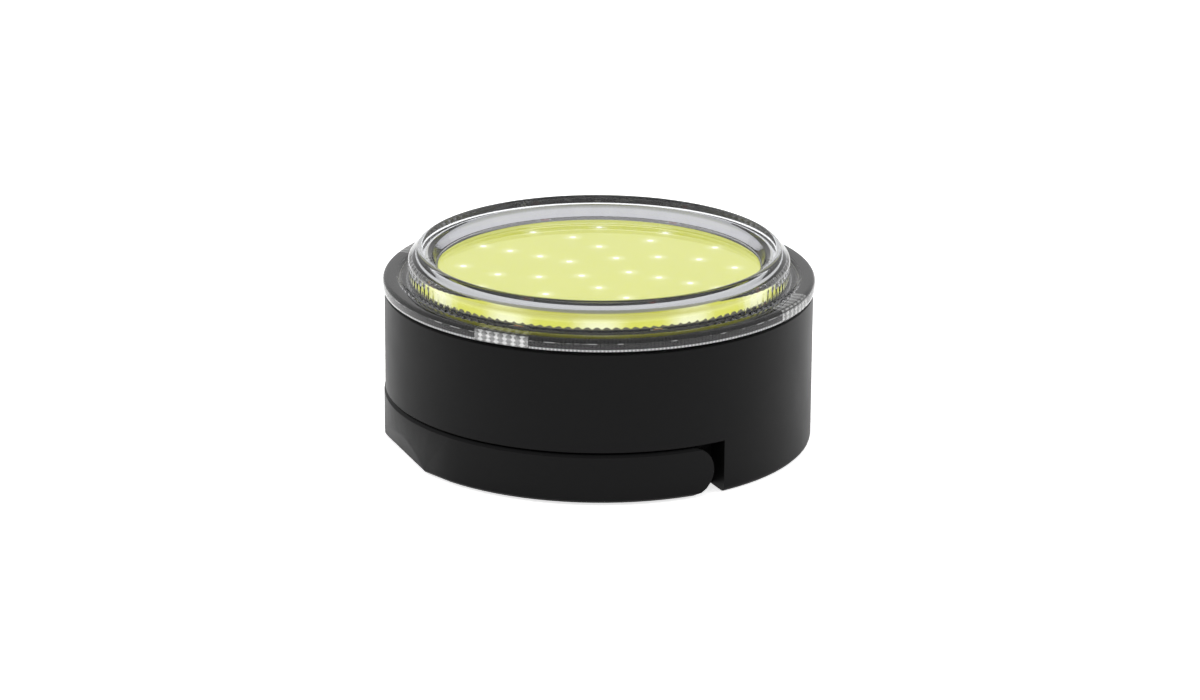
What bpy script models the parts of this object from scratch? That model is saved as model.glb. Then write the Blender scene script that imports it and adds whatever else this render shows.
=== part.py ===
"""Battery road flare: a round black hand lamp with a yellow chip-on-board face, eight red signal
lamps under a clear cover, a magnetic base and a half-ring bail that swings down from the base.

The pieces stand at their real size in metres. The origin is at the middle of the base, +Z is up,
the bail pivots about X and its loop is stowed on the -Y side; the power button is on the +Y side.
"""

import math

import bmesh
import bpy
from mathutils import Matrix

MM = 0.001
HALF_TURN = math.pi

# Driving sizes
BODY_RADIUS = 40.0 * MM
BODY_HEIGHT = 28.8 * MM
WALL = 2.0 * MM
FLOOR = 1.8 * MM
BASE_EDGE_RADIUS = 1.0 * MM
RIM_CHAMFER = 0.4 * MM
SEAT_GAP = 0.3 * MM
ROUND_STEPS = 96
SMALL_STEPS = 24

# Bail and the channel it is stowed in
BAIL_HEIGHT = 9.2 * MM
BAIL_THICKNESS = 4.6 * MM
BAIL_PROUD = 0.2 * MM
BAIL_GROUND_GAP = 0.4 * MM
BAIL_TOP_GAP = 0.4 * MM
BAIL_BACK_GAP = 1.2 * MM
BAIL_EDGE_CHAMFER = 0.5 * MM
THUMB_CUT_DEPTH = 2.5 * MM
THUMB_CUT_HEIGHT = 4.8 * MM
NOTCH_CLEARANCE = 2.3 * MM
STUD_RADIUS = 1.5 * MM
STUD_LENGTH = 5.4 * MM
STUD_CLEARANCE = 0.2 * MM
PIVOT_BOSS_RADIUS = 3.8 * MM
CHANNEL_WALL = 1.5 * MM

# Clear cover
COVER_OVERHANG = 0.3 * MM
COVER_FLANGE_HEIGHT = 2.3 * MM
COVER_FLANGE_ROUND = 0.7 * MM
COVER_MOAT_DEPTH = 0.4 * MM
COVER_MOAT_WIDTH = 1.6 * MM
COVER_RIM_WIDTH = 4.9 * MM
COVER_CROWN_HEIGHT = 5.2 * MM
COVER_CROWN_DRAFT = 1.6 * MM
COVER_CROWN_WIDTH = 2.8 * MM
COVER_CROWN_ROUND = 0.6 * MM
COVER_CROWN_WALL = 1.3 * MM
COVER_LIP_DROP = 1.2 * MM
COVER_LIP_DRAFT = 0.6 * MM
COVER_WINDOW_DEPTH = 3.4 * MM
COVER_WINDOW_THICKNESS = 1.7 * MM
COVER_SKIRT_DEPTH = 1.5 * MM

# Lamp board stack
LEDGE_DROP = 3.7 * MM
LEDGE_WIDTH = 1.5 * MM
CARRIER_RIM_THICKNESS = 1.2 * MM
CARRIER_DECK_DROP = 0.1 * MM
CARRIER_DECK_THICKNESS = 2.4 * MM
CARRIER_DECK_INSET = 0.6 * MM
LAMP_BOARD_THICKNESS = 1.1 * MM
PHOSPHOR_MARGIN = 0.2 * MM
PHOSPHOR_THICKNESS = 0.8 * MM
RED_LAMP_COUNT = 8
RED_LAMP_CLEARANCE = 0.6 * MM
RED_LAMP_SIZE = (2.4 * MM, 2.8 * MM, 0.8 * MM)
RED_LAMP_FIRST_ANGLE = math.radians(39.0)
SEAL_WIDTH = 1.4 * MM
SEAL_THICKNESS = 0.6 * MM

# Screws that hold the carrier
SCREW_ANGLES = (math.radians(-90.0), math.radians(40.0), math.radians(140.0))
SCREW_POST_RADIUS = 2.5 * MM
SCREW_POST_CLEARANCE = 0.6 * MM
SCREW_HEAD_RADIUS = 2.0 * MM
SCREW_HEAD_HEIGHT = 0.9 * MM
SCREW_SHANK_RADIUS = 0.9 * MM
SCREW_LENGTH = 6.5 * MM
SCREW_HEAD_DEPTH = 1.3 * MM

# AAA cells and their tray
CELL_COUNT = 3
CELL_RADIUS = 5.25 * MM
CELL_LENGTH = 44.5 * MM
CELL_NUB_RADIUS = 1.9 * MM
CELL_NUB_LENGTH = 1.0 * MM
CELL_SPACING = 0.4 * MM
CELL_DOOR_GAP = 0.65 * MM
TRAY_WALL = 1.2 * MM
SPRING_ROOM = 5.7 * MM
TRAY_SIDE_CLEARANCE = 0.85 * MM
TRAY_CORNER_RADIUS = 3.0 * MM
TRAY_ROOF_GAP = 0.25 * MM
CONTACT_THICKNESS = 0.5 * MM
CONTACT_MARGIN = 1.65 * MM
SPRING_WIRE_RADIUS = 0.35 * MM
SPRING_MARGIN = 1.85 * MM
SPRING_TAPER = 1.2 * MM
SPRING_TURNS = 3
SPRING_POINTS_PER_TURN = 10

# Battery door and magnets
DOOR_LIP = 2.0 * MM
DOOR_LIP_THICKNESS = 0.8 * MM
DOOR_RECESS = 0.2 * MM
DOOR_SIDE_GAP = 0.3 * MM
PRY_NOTCH_RADIUS = 4.0 * MM
PRY_NOTCH_DEPTH = 0.9 * MM
MAGNET_RADIUS = 4.5 * MM
MAGNET_THICKNESS = 2.8 * MM
MAGNET_Y = 10.5 * MM
MAGNET_CLEARANCE = 0.15 * MM
MAGNET_POCKET_WALL = 1.3 * MM

# Control board, switch and button
CONTROL_BOARD_LIFT = 1.0 * MM
CONTROL_BOARD_SIZE = (32.0 * MM, 42.0 * MM, 1.0 * MM)
CONTROL_BOARD_OFFSET = 9.0 * MM
SWITCH_OVERHANG = 1.0 * MM
BOARD_POST_RADIUS = 1.8 * MM
SWITCH_SIZE = (5.0 * MM, 3.5 * MM, 5.0 * MM)
CHIP_SIZE = (5.0 * MM, 4.0 * MM, 1.5 * MM)
COIL_RADIUS = 3.2 * MM
COIL_HEIGHT = 4.0 * MM
SWITCH_ACTUATOR_RADIUS = 1.5 * MM
SWITCH_ACTUATOR_LENGTH = 0.8 * MM
BUTTON_RADIUS = 4.0 * MM
BUTTON_CLEARANCE = 0.25 * MM
BUTTON_PROUD = 0.3 * MM
BUTTON_FLANGE_WIDTH = 0.7 * MM
BUTTON_FLANGE_THICKNESS = 1.4 * MM
BUTTON_STEM_RADIUS = 2.0 * MM
BUTTON_TRAVEL = 0.8 * MM
WIRE_RADIUS = 0.6 * MM

# Places worked out from the driving sizes
BAIL_OUTER = BODY_RADIUS + BAIL_PROUD
BAIL_INNER = BAIL_OUTER - BAIL_THICKNESS
BAIL_LOW = BAIL_GROUND_GAP
BAIL_HIGH = BAIL_LOW + BAIL_HEIGHT
PIVOT_HEIGHT = BAIL_LOW + BAIL_HEIGHT / 2
NOTCH_END = BAIL_HEIGHT / 2 + NOTCH_CLEARANCE
CHANNEL_RADIUS = BAIL_INNER - BAIL_BACK_GAP
CHANNEL_TOP = BAIL_HIGH + BAIL_TOP_GAP
LOWER_CAVITY_RADIUS = CHANNEL_RADIUS - CHANNEL_WALL
SHELF_HEIGHT = CHANNEL_TOP + CHANNEL_WALL
UPPER_CAVITY_RADIUS = BODY_RADIUS - WALL
LEDGE_HEIGHT = BODY_HEIGHT - LEDGE_DROP
LEDGE_RADIUS = UPPER_CAVITY_RADIUS - LEDGE_WIDTH
STUD_ROOT = BAIL_INNER + SEAT_GAP
STUD_END = STUD_ROOT - STUD_LENGTH
BOSS_END = STUD_END - SEAT_GAP

COVER_RADIUS = BODY_RADIUS + COVER_OVERHANG
COVER_LOW = BODY_HEIGHT + SEAT_GAP
COVER_FLANGE_TOP = COVER_LOW + COVER_FLANGE_HEIGHT
TOTAL_HEIGHT = COVER_FLANGE_TOP + COVER_CROWN_HEIGHT
COVER_CROWN_BASE_RADIUS = COVER_RADIUS - COVER_RIM_WIDTH
COVER_CROWN_TOP_RADIUS = COVER_CROWN_BASE_RADIUS - COVER_CROWN_DRAFT
COVER_LIP_RADIUS = COVER_CROWN_TOP_RADIUS - COVER_CROWN_WIDTH
COVER_WINDOW_RADIUS = COVER_LIP_RADIUS - COVER_LIP_DRAFT
SKIRT_OUTER = UPPER_CAVITY_RADIUS - SEAT_GAP
SKIRT_LOW = BODY_HEIGHT - COVER_SKIRT_DEPTH
CARRIER_RIM_LOW = LEDGE_HEIGHT + SEAT_GAP
CARRIER_RIM_TOP = CARRIER_RIM_LOW + CARRIER_RIM_THICKNESS
CARRIER_DECK_TOP = BODY_HEIGHT - CARRIER_DECK_DROP
CARRIER_DECK_LOW = CARRIER_DECK_TOP - CARRIER_DECK_THICKNESS
CARRIER_DECK_RADIUS = COVER_CROWN_BASE_RADIUS - CARRIER_DECK_INSET
CARRIER_HOLLOW_RADIUS = CARRIER_DECK_RADIUS - CARRIER_RIM_THICKNESS
SCREW_RING_RADIUS = CARRIER_HOLLOW_RADIUS - SCREW_POST_RADIUS - SCREW_POST_CLEARANCE
LAMP_BOARD_LOW = CARRIER_DECK_TOP + SEAT_GAP
LAMP_BOARD_TOP = LAMP_BOARD_LOW + LAMP_BOARD_THICKNESS
LAMP_BOARD_RADIUS = CARRIER_DECK_RADIUS - SEAT_GAP
SKIRT_INNER = LAMP_BOARD_RADIUS + 2 * SEAT_GAP
PHOSPHOR_LOW = LAMP_BOARD_TOP + SEAT_GAP
PHOSPHOR_TOP = PHOSPHOR_LOW + PHOSPHOR_THICKNESS
PHOSPHOR_RADIUS = COVER_WINDOW_RADIUS + PHOSPHOR_MARGIN
RED_LAMP_RING_RADIUS = PHOSPHOR_RADIUS + RED_LAMP_CLEARANCE + RED_LAMP_SIZE[0] / 2
WINDOW_TOP = TOTAL_HEIGHT - COVER_WINDOW_DEPTH
WINDOW_LOW = WINDOW_TOP - COVER_WINDOW_THICKNESS
MOAT_FLOOR = COVER_FLANGE_TOP - COVER_MOAT_DEPTH
MOAT_RADIUS = COVER_CROWN_BASE_RADIUS + COVER_MOAT_WIDTH
SEAL_LOW = CARRIER_RIM_TOP + (SKIRT_LOW - CARRIER_RIM_TOP - SEAL_THICKNESS) / 2

CELL_PITCH = 2 * CELL_RADIUS + CELL_SPACING
CONTACT_RADIUS = CELL_RADIUS - CONTACT_MARGIN
SPRING_WIDE_RADIUS = CELL_RADIUS - SPRING_MARGIN
SPRING_NARROW_RADIUS = SPRING_WIDE_RADIUS - SPRING_TAPER
CELL_AXIS_HEIGHT = FLOOR + CELL_DOOR_GAP + CELL_RADIUS
TRAY_INNER_LENGTH = CELL_LENGTH + SPRING_ROOM + CONTACT_THICKNESS + 3 * SEAT_GAP
TRAY_INNER_WIDTH = 2 * CELL_RADIUS + (CELL_COUNT - 1) * CELL_PITCH + 2 * TRAY_SIDE_CLEARANCE
TRAY_ROOF_LOW = CELL_AXIS_HEIGHT + CELL_RADIUS + TRAY_ROOF_GAP
TRAY_TOP = TRAY_ROOF_LOW + TRAY_WALL
CONTACT_FACE = TRAY_INNER_LENGTH / 2 - SEAT_GAP - CONTACT_THICKNESS
CELL_PLUS_END = CONTACT_FACE - SEAT_GAP
CELL_MINUS_END = CELL_PLUS_END - CELL_LENGTH
POST_TOP = CARRIER_DECK_LOW - SEAT_GAP
COUNTERBORE_FLOOR = CARRIER_DECK_TOP - SCREW_HEAD_DEPTH
MAGNET_POCKET_TOP = DOOR_RECESS + MAGNET_THICKNESS + SEAT_GAP
MAGNET_POCKET_RADIUS = MAGNET_RADIUS + MAGNET_CLEARANCE
MAGNET_X = TRAY_INNER_WIDTH / 2 + DOOR_LIP + MAGNET_POCKET_WALL + MAGNET_POCKET_RADIUS
DOOR_LIP_TOP = DOOR_RECESS + DOOR_LIP_THICKNESS
CONTROL_BOARD_HEIGHT = TRAY_TOP + CONTROL_BOARD_LIFT
CONTROL_BOARD_TOP = CONTROL_BOARD_HEIGHT + CONTROL_BOARD_SIZE[2]
SWITCH_LOW = CONTROL_BOARD_TOP + SEAT_GAP
BUTTON_HEIGHT = SWITCH_LOW + SWITCH_SIZE[2] / 2
SWITCH_FACE = CONTROL_BOARD_OFFSET + CONTROL_BOARD_SIZE[1] / 2 + SWITCH_OVERHANG
ACTUATOR_TIP = SWITCH_FACE + SWITCH_ACTUATOR_LENGTH
STEM_TIP = ACTUATOR_TIP + BUTTON_TRAVEL + SEAT_GAP
BUTTON_FACE = BODY_RADIUS + BUTTON_PROUD
BUTTON_FLANGE_RADIUS = BUTTON_RADIUS + BUTTON_FLANGE_WIDTH
BUTTON_FLANGE_FACE = (
    math.sqrt(UPPER_CAVITY_RADIUS**2 - BUTTON_FLANGE_RADIUS**2) - SEAT_GAP
)

ALONG_X = Matrix.Rotation(HALF_TURN / 2, 4, "Y")
ALONG_Y = Matrix.Rotation(-HALF_TURN / 2, 4, "X")


# ---------------------------------------------------------------- scene and materials


def start_scene():
    """Empties the scene and gives it a collection for the parts and one for the cutters."""
    for obj in list(bpy.data.objects):
        bpy.data.objects.remove(obj, do_unlink=True)
    found = []
    for name in ("road_flare", "cutters"):
        collection = bpy.data.collections.new(name)
        bpy.context.scene.collection.children.link(collection)
        found.append(collection)
    return found


PARTS, CUTTERS = start_scene()


def plain_material(name, colour, roughness, metallic=0.0, transmission=0.0):
    made = bpy.data.materials.new(name)
    made.use_nodes = True
    shader = made.node_tree.nodes["Principled BSDF"]
    shader.inputs["Base Color"].default_value = (*colour, 1.0)
    shader.inputs["Roughness"].default_value = roughness
    shader.inputs["Metallic"].default_value = metallic
    shader.inputs["Transmission Weight"].default_value = transmission
    return made


BLACK_PLASTIC = plain_material("black_plastic", (0.018, 0.018, 0.018), 0.45)
BLACK_RUBBER = plain_material("black_rubber", (0.015, 0.015, 0.015), 0.7)
CLEAR_PLASTIC = plain_material("clear_plastic", (0.95, 0.96, 0.97), 0.03, 0.0, 1.0)
GREY_PLASTIC = plain_material("grey_plastic", (0.3, 0.3, 0.31), 0.5)
YELLOW_PHOSPHOR = plain_material("yellow_phosphor", (0.8, 0.82, 0.16), 0.4)
WHITE_BOARD = plain_material("white_board", (0.75, 0.76, 0.76), 0.4)
GREEN_BOARD = plain_material("green_board", (0.02, 0.16, 0.07), 0.4)
RED_LAMP = plain_material("red_lamp", (0.55, 0.03, 0.02), 0.25)
STEEL = plain_material("steel", (0.62, 0.62, 0.63), 0.3, 1.0)
NICKEL = plain_material("nickel", (0.72, 0.7, 0.66), 0.2, 1.0)
CELL_WRAP = plain_material("cell_wrap", (0.1, 0.12, 0.16), 0.35)
RED_WIRE = plain_material("red_wire", (0.5, 0.02, 0.02), 0.45)
BLACK_WIRE = plain_material("black_wire", (0.02, 0.02, 0.02), 0.45)


# ---------------------------------------------------------------- shape helpers


def add_object(name, mesh, material=None):
    """A mesh as a part with a material, or as a hidden cutter when it has none."""
    obj = bpy.data.objects.new(name, mesh)
    if material is None:
        CUTTERS.objects.link(obj)
        obj.hide_render = True
        obj.display_type = "WIRE"
    else:
        PARTS.objects.link(obj)
        mesh.materials.append(material)
    return obj


def finish_bmesh(name, shape, place, material, smooth_angle=40.0):
    bmesh.ops.transform(shape, matrix=place, verts=shape.verts)
    mesh = bpy.data.meshes.new(name)
    shape.to_mesh(mesh)
    shape.free()
    mesh.shade_smooth()
    mesh.set_sharp_from_angle(angle=math.radians(smooth_angle))
    return add_object(name, mesh, material)


def block(name, size, middle, material=None):
    shape = bmesh.new()
    bmesh.ops.create_cube(shape, size=1.0)
    place = Matrix.Translation(middle) @ Matrix.Diagonal((*size, 1.0))
    return finish_bmesh(name, shape, place, material)


def rounded_block(name, size, middle, corner_radius, material=None, segments=5):
    """A block whose upright edges are rounded."""
    shape = bmesh.new()
    bmesh.ops.create_cube(shape, size=1.0)
    bmesh.ops.scale(shape, vec=size, verts=shape.verts)
    upright = [
        edge
        for edge in shape.edges
        if abs(edge.verts[0].co.z - edge.verts[1].co.z) > size[2] / 2
    ]
    bmesh.ops.bevel(
        shape,
        geom=upright,
        offset=corner_radius,
        segments=segments,
        profile=0.5,
        affect="EDGES",
        material=-1,
    )
    return finish_bmesh(name, shape, Matrix.Translation(middle), material)


def rod(name, radius, low, high, place=None, material=None, steps=SMALL_STEPS, top_radius=None):
    """A cylinder or cone along Z from low to high, then turned and moved by place."""
    shape = bmesh.new()
    bmesh.ops.create_cone(
        shape,
        cap_ends=True,
        segments=steps,
        radius1=radius,
        radius2=radius if top_radius is None else top_radius,
        depth=high - low,
    )
    place = (place or Matrix.Identity(4)) @ Matrix.Translation((0, 0, (low + high) / 2))
    return finish_bmesh(name, shape, place, material)


def turned(name, profile, material=None, steps=ROUND_STEPS, closed=False, place=None):
    """A profile of (radius, height) points, run down its outer side, turned about Z."""
    mesh = bpy.data.meshes.new(name)
    last = len(profile) if closed else len(profile) - 1
    edges = [(i, (i + 1) % len(profile)) for i in range(last)]
    mesh.from_pydata([(r, 0, z) for r, z in profile], edges, [])
    obj = add_object(name, mesh, material)
    if place is not None:
        obj.matrix_world = place
    screw = obj.modifiers.new("turn", "SCREW")
    screw.axis = "Z"
    screw.angle = 2 * HALF_TURN
    screw.steps = steps
    screw.render_steps = steps
    screw.use_merge_vertices = True
    screw.merge_threshold = 0.00001
    screw.use_smooth_shade = True
    return obj


def prism(name, outline, low, high, place, material=None):
    """A flat outline in XY, raised from low to high along Z, then turned and moved by place."""
    shape = bmesh.new()
    face = shape.faces.new([shape.verts.new((x, y, low)) for x, y in outline])
    raised = bmesh.ops.extrude_face_region(shape, geom=[face])
    moved = [v for v in raised["geom"] if isinstance(v, bmesh.types.BMVert)]
    bmesh.ops.translate(shape, vec=(0, 0, high - low), verts=moved)
    bmesh.ops.recalc_face_normals(shape, faces=shape.faces)
    return finish_bmesh(name, shape, place, material)


def combine(target, tool, operation):
    """Cuts, joins or crops target with the hidden tool. Every shape here is closed, as the
    manifold solver needs, and it keeps long thin walls that the exact one can drop."""
    modifier = target.modifiers.new(f"{operation.lower()}_{tool.name}", "BOOLEAN")
    modifier.object = tool
    modifier.operation = operation
    modifier.solver = "MANIFOLD"


def arc(centre, radius, start_deg, end_deg, points):
    """Points along an arc in a profile's own plane, both ends included."""
    found = []
    for i in range(points):
        angle = math.radians(start_deg + (end_deg - start_deg) * i / (points - 1))
        found.append(
            (centre[0] + radius * math.cos(angle), centre[1] + radius * math.sin(angle))
        )
    return found


def on_ring(radius, angle, height=0.0):
    return (radius * math.cos(angle), radius * math.sin(angle), height)


def tube(name, points, radius, material):
    """A wire along chosen points, with closed ends."""
    curve = bpy.data.curves.new(name, "CURVE")
    curve.dimensions = "3D"
    curve.bevel_depth = radius
    curve.bevel_resolution = 2
    curve.use_fill_caps = True
    spline = curve.splines.new("POLY")
    spline.points.add(len(points) - 1)
    for point, place in zip(spline.points, points):
        point.co = (*place, 1.0)
    obj = bpy.data.objects.new(name, curve)
    curve.materials.append(material)
    PARTS.objects.link(obj)
    return obj


# ---------------------------------------------------------------- housing


def magnet_places():
    return [(x, y) for x in (-MAGNET_X, MAGNET_X) for y in (-MAGNET_Y, MAGNET_Y)]


def housing_profile():
    edge = BASE_EDGE_RADIUS
    inside = [
        (0.0, FLOOR),
        (LOWER_CAVITY_RADIUS, FLOOR),
        (LOWER_CAVITY_RADIUS, SHELF_HEIGHT),
        (UPPER_CAVITY_RADIUS, SHELF_HEIGHT),
        (UPPER_CAVITY_RADIUS, LEDGE_HEIGHT - LEDGE_WIDTH),
        (LEDGE_RADIUS, LEDGE_HEIGHT),
        (UPPER_CAVITY_RADIUS, LEDGE_HEIGHT),
        (UPPER_CAVITY_RADIUS, BODY_HEIGHT),
        (BODY_RADIUS - RIM_CHAMFER, BODY_HEIGHT),
        (BODY_RADIUS, BODY_HEIGHT - RIM_CHAMFER),
    ]
    base_edge = arc((BODY_RADIUS - edge, edge), edge, 0, -90, 4)
    return inside + base_edge + [(0.0, 0.0)]


def cut_bail_channel(housing):
    """The channel is a ring round the base, kept where y is below the end of the notch."""
    beyond = 2 * BODY_RADIUS
    ring = turned(
        "channel_ring",
        [
            (CHANNEL_RADIUS, CHANNEL_TOP),
            (BODY_RADIUS + WALL, CHANNEL_TOP),
            (BODY_RADIUS + WALL, -WALL),
            (CHANNEL_RADIUS, -WALL),
        ],
        closed=True,
    )
    half = block(
        "channel_half",
        (2 * beyond, beyond, beyond),
        (0, NOTCH_END - beyond / 2, 0),
    )
    combine(ring, half, "INTERSECT")
    combine(housing, ring, "DIFFERENCE")


def pivot_place(side):
    """Turns something made along Z so that it points outward along the pivot's axis."""
    outward = Matrix.Translation((0, 0, PIVOT_HEIGHT)) @ ALONG_X
    return outward if side > 0 else Matrix.Rotation(HALF_TURN, 4, "Z") @ outward


def cut_pivots(housing):
    """A boss and a bore on each side for the bail's studs."""
    for side in (-1, 1):
        word = "left" if side < 0 else "right"
        boss = rod(
            f"pivot_boss_{word}",
            PIVOT_BOSS_RADIUS,
            BOSS_END,
            CHANNEL_RADIUS - CHANNEL_WALL / 3,
            pivot_place(side),
        )
        combine(housing, boss, "UNION")
        bore = rod(
            f"pivot_bore_{word}",
            STUD_RADIUS + STUD_CLEARANCE,
            BOSS_END - WALL,
            CHANNEL_RADIUS + WALL,
            pivot_place(side),
        )
        combine(housing, bore, "DIFFERENCE")


def cut_magnet_pockets(housing):
    for i, (x, y) in enumerate(magnet_places(), 1):
        place = Matrix.Translation((x, y, 0))
        boss = rod(
            f"magnet_boss_{i}",
            MAGNET_POCKET_RADIUS + MAGNET_POCKET_WALL,
            FLOOR / 2,
            MAGNET_POCKET_TOP + MAGNET_POCKET_WALL,
            place,
        )
        combine(housing, boss, "UNION")
        pocket = rod(
            f"magnet_pocket_{i}", MAGNET_POCKET_RADIUS, -WALL, MAGNET_POCKET_TOP, place
        )
        combine(housing, pocket, "DIFFERENCE")


def add_screw_posts(housing):
    for i, angle in enumerate(SCREW_ANGLES, 1):
        place = Matrix.Translation(on_ring(SCREW_RING_RADIUS, angle))
        post = rod(f"screw_post_{i}", SCREW_POST_RADIUS, FLOOR / 2, POST_TOP, place)
        combine(housing, post, "UNION")
        pilot = rod(
            f"screw_pilot_{i}",
            SCREW_SHANK_RADIUS + STUD_CLEARANCE,
            POST_TOP - SCREW_LENGTH - WALL,
            POST_TOP + WALL,
            place,
            steps=12,
        )
        combine(housing, pilot, "DIFFERENCE")


def cut_door_opening(housing):
    """A through opening for the cells, a shallow seat for the door's lip and a pry notch."""
    opening = rounded_block(
        "door_opening",
        (TRAY_INNER_WIDTH, TRAY_INNER_LENGTH, 4 * FLOOR),
        (0, 0, 0),
        TRAY_CORNER_RADIUS,
    )
    combine(housing, opening, "DIFFERENCE")
    seat_high = DOOR_LIP_TOP + SEAT_GAP / 2
    seat = rounded_block(
        "door_seat",
        (
            TRAY_INNER_WIDTH + 2 * DOOR_LIP,
            TRAY_INNER_LENGTH + 2 * DOOR_LIP,
            2 * seat_high,
        ),
        (0, 0, 0),
        TRAY_CORNER_RADIUS + DOOR_LIP,
    )
    combine(housing, seat, "DIFFERENCE")
    notch = rod(
        "pry_notch",
        PRY_NOTCH_RADIUS,
        -WALL,
        PRY_NOTCH_DEPTH,
        Matrix.Translation((0, TRAY_INNER_LENGTH / 2 + DOOR_LIP, 0)),
    )
    combine(housing, notch, "DIFFERENCE")


def build_housing():
    housing = turned("housing", housing_profile(), BLACK_PLASTIC)
    cut_bail_channel(housing)
    cut_pivots(housing)
    cut_magnet_pockets(housing)
    add_screw_posts(housing)
    cut_door_opening(housing)
    hole = rod(
        "button_hole",
        BUTTON_RADIUS + BUTTON_CLEARANCE,
        BODY_RADIUS / 2,
        BODY_RADIUS + WALL,
        Matrix.Translation((0, 0, BUTTON_HEIGHT)) @ ALONG_Y,
        steps=32,
    )
    combine(housing, hole, "DIFFERENCE")
    relief = rod(
        "button_relief",
        BUTTON_FLANGE_RADIUS + SEAT_GAP,
        BODY_RADIUS / 2,
        BUTTON_FLANGE_FACE + SEAT_GAP,
        Matrix.Translation((0, 0, BUTTON_HEIGHT)) @ ALONG_Y,
        steps=32,
    )
    combine(housing, relief, "DIFFERENCE")


# ---------------------------------------------------------------- bail


def build_bail():
    """A half ring with rounded ends, two inward studs and a flat thumb cut at its middle."""
    chamfer = BAIL_EDGE_CHAMFER
    half = BAIL_HEIGHT / 2
    bail = turned(
        "bail",
        [
            (BAIL_INNER, half),
            (BAIL_OUTER - chamfer, half),
            (BAIL_OUTER, half - chamfer),
            (BAIL_OUTER, chamfer - half),
            (BAIL_OUTER - chamfer, -half),
            (BAIL_INNER, -half),
        ],
        BLACK_PLASTIC,
        closed=True,
        place=Matrix.Translation((0, 0, PIVOT_HEIGHT)),
    )
    beyond = 2 * BODY_RADIUS
    side_view = [(-beyond, -beyond), (0, -beyond)]
    side_view += arc((0, PIVOT_HEIGHT), half, -80, 80, 11)
    side_view += [(0, beyond), (-beyond, beyond)]
    upright = Matrix(((0, 0, 1, 0), (1, 0, 0, 0), (0, 1, 0, 0), (0, 0, 0, 1)))
    combine(bail, prism("bail_side_view", side_view, -beyond, beyond, upright), "INTERSECT")
    lean = THUMB_CUT_DEPTH / THUMB_CUT_HEIGHT
    cut_low = BAIL_LOW - WALL
    cut_high = BAIL_LOW + THUMB_CUT_HEIGHT + WALL
    thumb_cut = [
        (-beyond, cut_low),
        (-BAIL_OUTER + THUMB_CUT_DEPTH + WALL * lean, cut_low),
        (-BAIL_OUTER - WALL * lean, cut_high),
        (-beyond, cut_high),
    ]
    combine(bail, prism("thumb_cut", thumb_cut, -beyond, beyond, upright), "DIFFERENCE")
    for side in (-1, 1):
        word = "left" if side < 0 else "right"
        stud = rod(
            f"bail_stud_{word}",
            STUD_RADIUS,
            STUD_END,
            STUD_ROOT + BAIL_THICKNESS / 2,
            pivot_place(side),
        )
        combine(bail, stud, "UNION")


# ---------------------------------------------------------------- clear cover and seal


def build_cover():
    """A flange over the rim, a moat, a hollow crown and a window sunk inside the crown."""
    flange_round = COVER_FLANGE_ROUND
    crown_round = COVER_CROWN_ROUND
    slope = math.atan2(COVER_LIP_DROP, COVER_CROWN_TOP_RADIUS - COVER_LIP_RADIUS)
    crown_top = (COVER_CROWN_TOP_RADIUS - crown_round, TOTAL_HEIGHT - crown_round)
    lip = (COVER_LIP_RADIUS + crown_round, TOTAL_HEIGHT - COVER_LIP_DROP - crown_round)
    rim = (COVER_RADIUS - flange_round, COVER_FLANGE_TOP - flange_round)
    profile = [(0.0, WINDOW_TOP), (COVER_WINDOW_RADIUS, WINDOW_TOP)]
    profile += arc(lip, crown_round, 170, 90 + math.degrees(slope), 4)
    profile += arc(crown_top, crown_round, 90 + math.degrees(slope), 15, 5)
    profile += [
        (COVER_CROWN_BASE_RADIUS, MOAT_FLOOR),
        (MOAT_RADIUS, MOAT_FLOOR),
        (MOAT_RADIUS + COVER_MOAT_DEPTH, COVER_FLANGE_TOP),
    ]
    profile += arc(rim, flange_round, 90, 0, 4)
    crown_low = WINDOW_LOW + COVER_MOAT_DEPTH / 2
    profile += [
        (COVER_RADIUS, COVER_LOW),
        (SKIRT_OUTER, COVER_LOW),
        (SKIRT_OUTER, SKIRT_LOW),
        (SKIRT_INNER, SKIRT_LOW),
        (SKIRT_INNER, LAMP_BOARD_TOP),
        (COVER_CROWN_BASE_RADIUS - COVER_CROWN_WALL, crown_low),
        (COVER_CROWN_TOP_RADIUS - COVER_CROWN_WALL, lip[1]),
        (COVER_LIP_RADIUS + COVER_CROWN_WALL - SEAT_GAP, lip[1]),
        (COVER_WINDOW_RADIUS + COVER_CROWN_WALL, WINDOW_LOW),
        (0.0, WINDOW_LOW),
    ]
    turned("clear_cover", profile, CLEAR_PLASTIC)


def build_seal():
    outer = SKIRT_OUTER - SEAT_GAP / 2
    turned(
        "cover_seal",
        [
            (outer - SEAL_WIDTH, SEAL_LOW + SEAL_THICKNESS),
            (outer, SEAL_LOW + SEAL_THICKNESS),
            (outer, SEAL_LOW),
            (outer - SEAL_WIDTH, SEAL_LOW),
        ],
        BLACK_RUBBER,
        steps=64,
        closed=True,
    )


# ---------------------------------------------------------------- lamp stack


WIRE_HOLE_PLACES = ((-3.0 * MM, -9.0 * MM), (3.0 * MM, -9.0 * MM))
WIRE_HOLE_RADIUS = 1.1 * MM


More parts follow.
